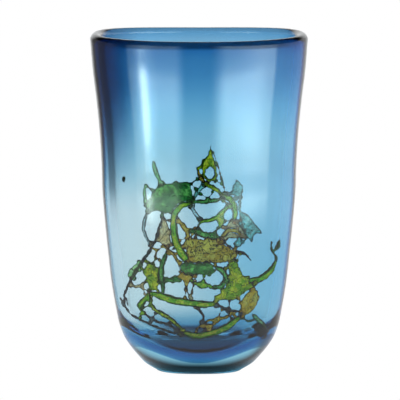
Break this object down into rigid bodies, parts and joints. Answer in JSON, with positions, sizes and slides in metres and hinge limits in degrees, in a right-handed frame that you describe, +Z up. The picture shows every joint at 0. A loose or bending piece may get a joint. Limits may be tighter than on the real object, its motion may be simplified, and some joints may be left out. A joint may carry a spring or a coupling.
{
  "type": "hand blown art glass vase",
  "caption": "Tall oval hand blown vase: clear glass cased over a blue cup, with a tangle of green, amber and teal glass trails buried in its front wall.",
  "frame": {"origin": "centre of the foot, on the surface that the vase stands on", "axes": "+Z up, +X to the right across the wide front, -Y out of the decorated front"},
  "size_m": [0.188, 0.12, 0.3],
  "materials": {
    "clear_glass": "fire polished clear, the foot's hollow ground and polished",
    "blue_glass": "transparent blue, strong at the top and pale below",
    "leaf_green_glass": "glossy transparent hot glass with darker edges",
    "dark_green_glass": "glossy transparent hot glass with darker edges",
    "pale_green_glass": "glossy transparent hot glass with darker edges",
    "olive_glass": "glossy transparent hot glass with darker edges",
    "gold_glass": "glossy transparent hot glass with darker edges",
    "amber_glass": "glossy transparent hot glass with darker edges",
    "teal_glass": "glossy transparent hot glass with darker edges",
    "smoky_glass": "glossy transparent hot glass with darker edges",
    "tan_glass": "glossy transparent hot glass with darker edges",
    "pale_glass": "glossy transparent hot glass with darker edges"
  },
  "bodies": {
    "root": {"clear_casing": "clear_glass", "blue_cup": "blue_glass", "green_arch": "leaf_green_glass", "green_shoulder": "leaf_green_glass", "lower_girder": "leaf_green_glass", "bottom_sweep": "leaf_green_glass", "long_thread": "smoky_glass", "right_arm": "leaf_green_glass", "arm_knob": "dark_green_glass", "left_post": "dark_green_glass", "green_crescent": "dark_green_glass", "inner_rail": "olive_glass", "outer_rail": "smoky_glass", "left_knot": "leaf_green_glass", "amber_knuckle": "amber_glass", "olive_leg": "olive_glass", "teal_leg": "teal_glass", "green_top_bar": "dark_green_glass", "inner_vine": "leaf_green_glass", "pale_drip": "pale_glass", "amber_link": "gold_glass", "green_bridge": "dark_green_glass", "amber_arch": "gold_glass", "teal_ribbon": "teal_glass", "frothy_film": "tan_glass", "core_strand": "smoky_glass", "teal_tab": "teal_glass", "amber_core": "amber_glass", "green_core": "dark_green_glass", "amber_star": "gold_glass", "green_blob": "leaf_green_glass", "olive_mass": "olive_glass", "amber_wafer": "gold_glass", "right_strut": "pale_green_glass", "smoky_wedge": "smoky_glass", "silver_loop": "pale_glass", "pale_left_strand": "pale_glass", "tan_shard": "tan_glass", "amber_web": "amber_glass", "pale_loop_wafer": "pale_green_glass", "tan_crescent": "tan_glass", "leafy_cluster": "olive_glass", "left_link": "dark_green_glass", "amber_nodule": "gold_glass", "right_brace": "smoky_glass", "upper_sweep": "amber_glass", "web_tie": "smoky_glass", "star_tie": "tan_glass", "olive_sail": "olive_glass", "sail_thread": "dark_green_glass", "green_wing": "dark_green_glass", "green_horn": "pale_green_glass", "pale_green_finger": "pale_green_glass", "pale_teal_wafer": "teal_glass", "stray_green_drop": "dark_green_glass"}
  },
  "joints": []
}
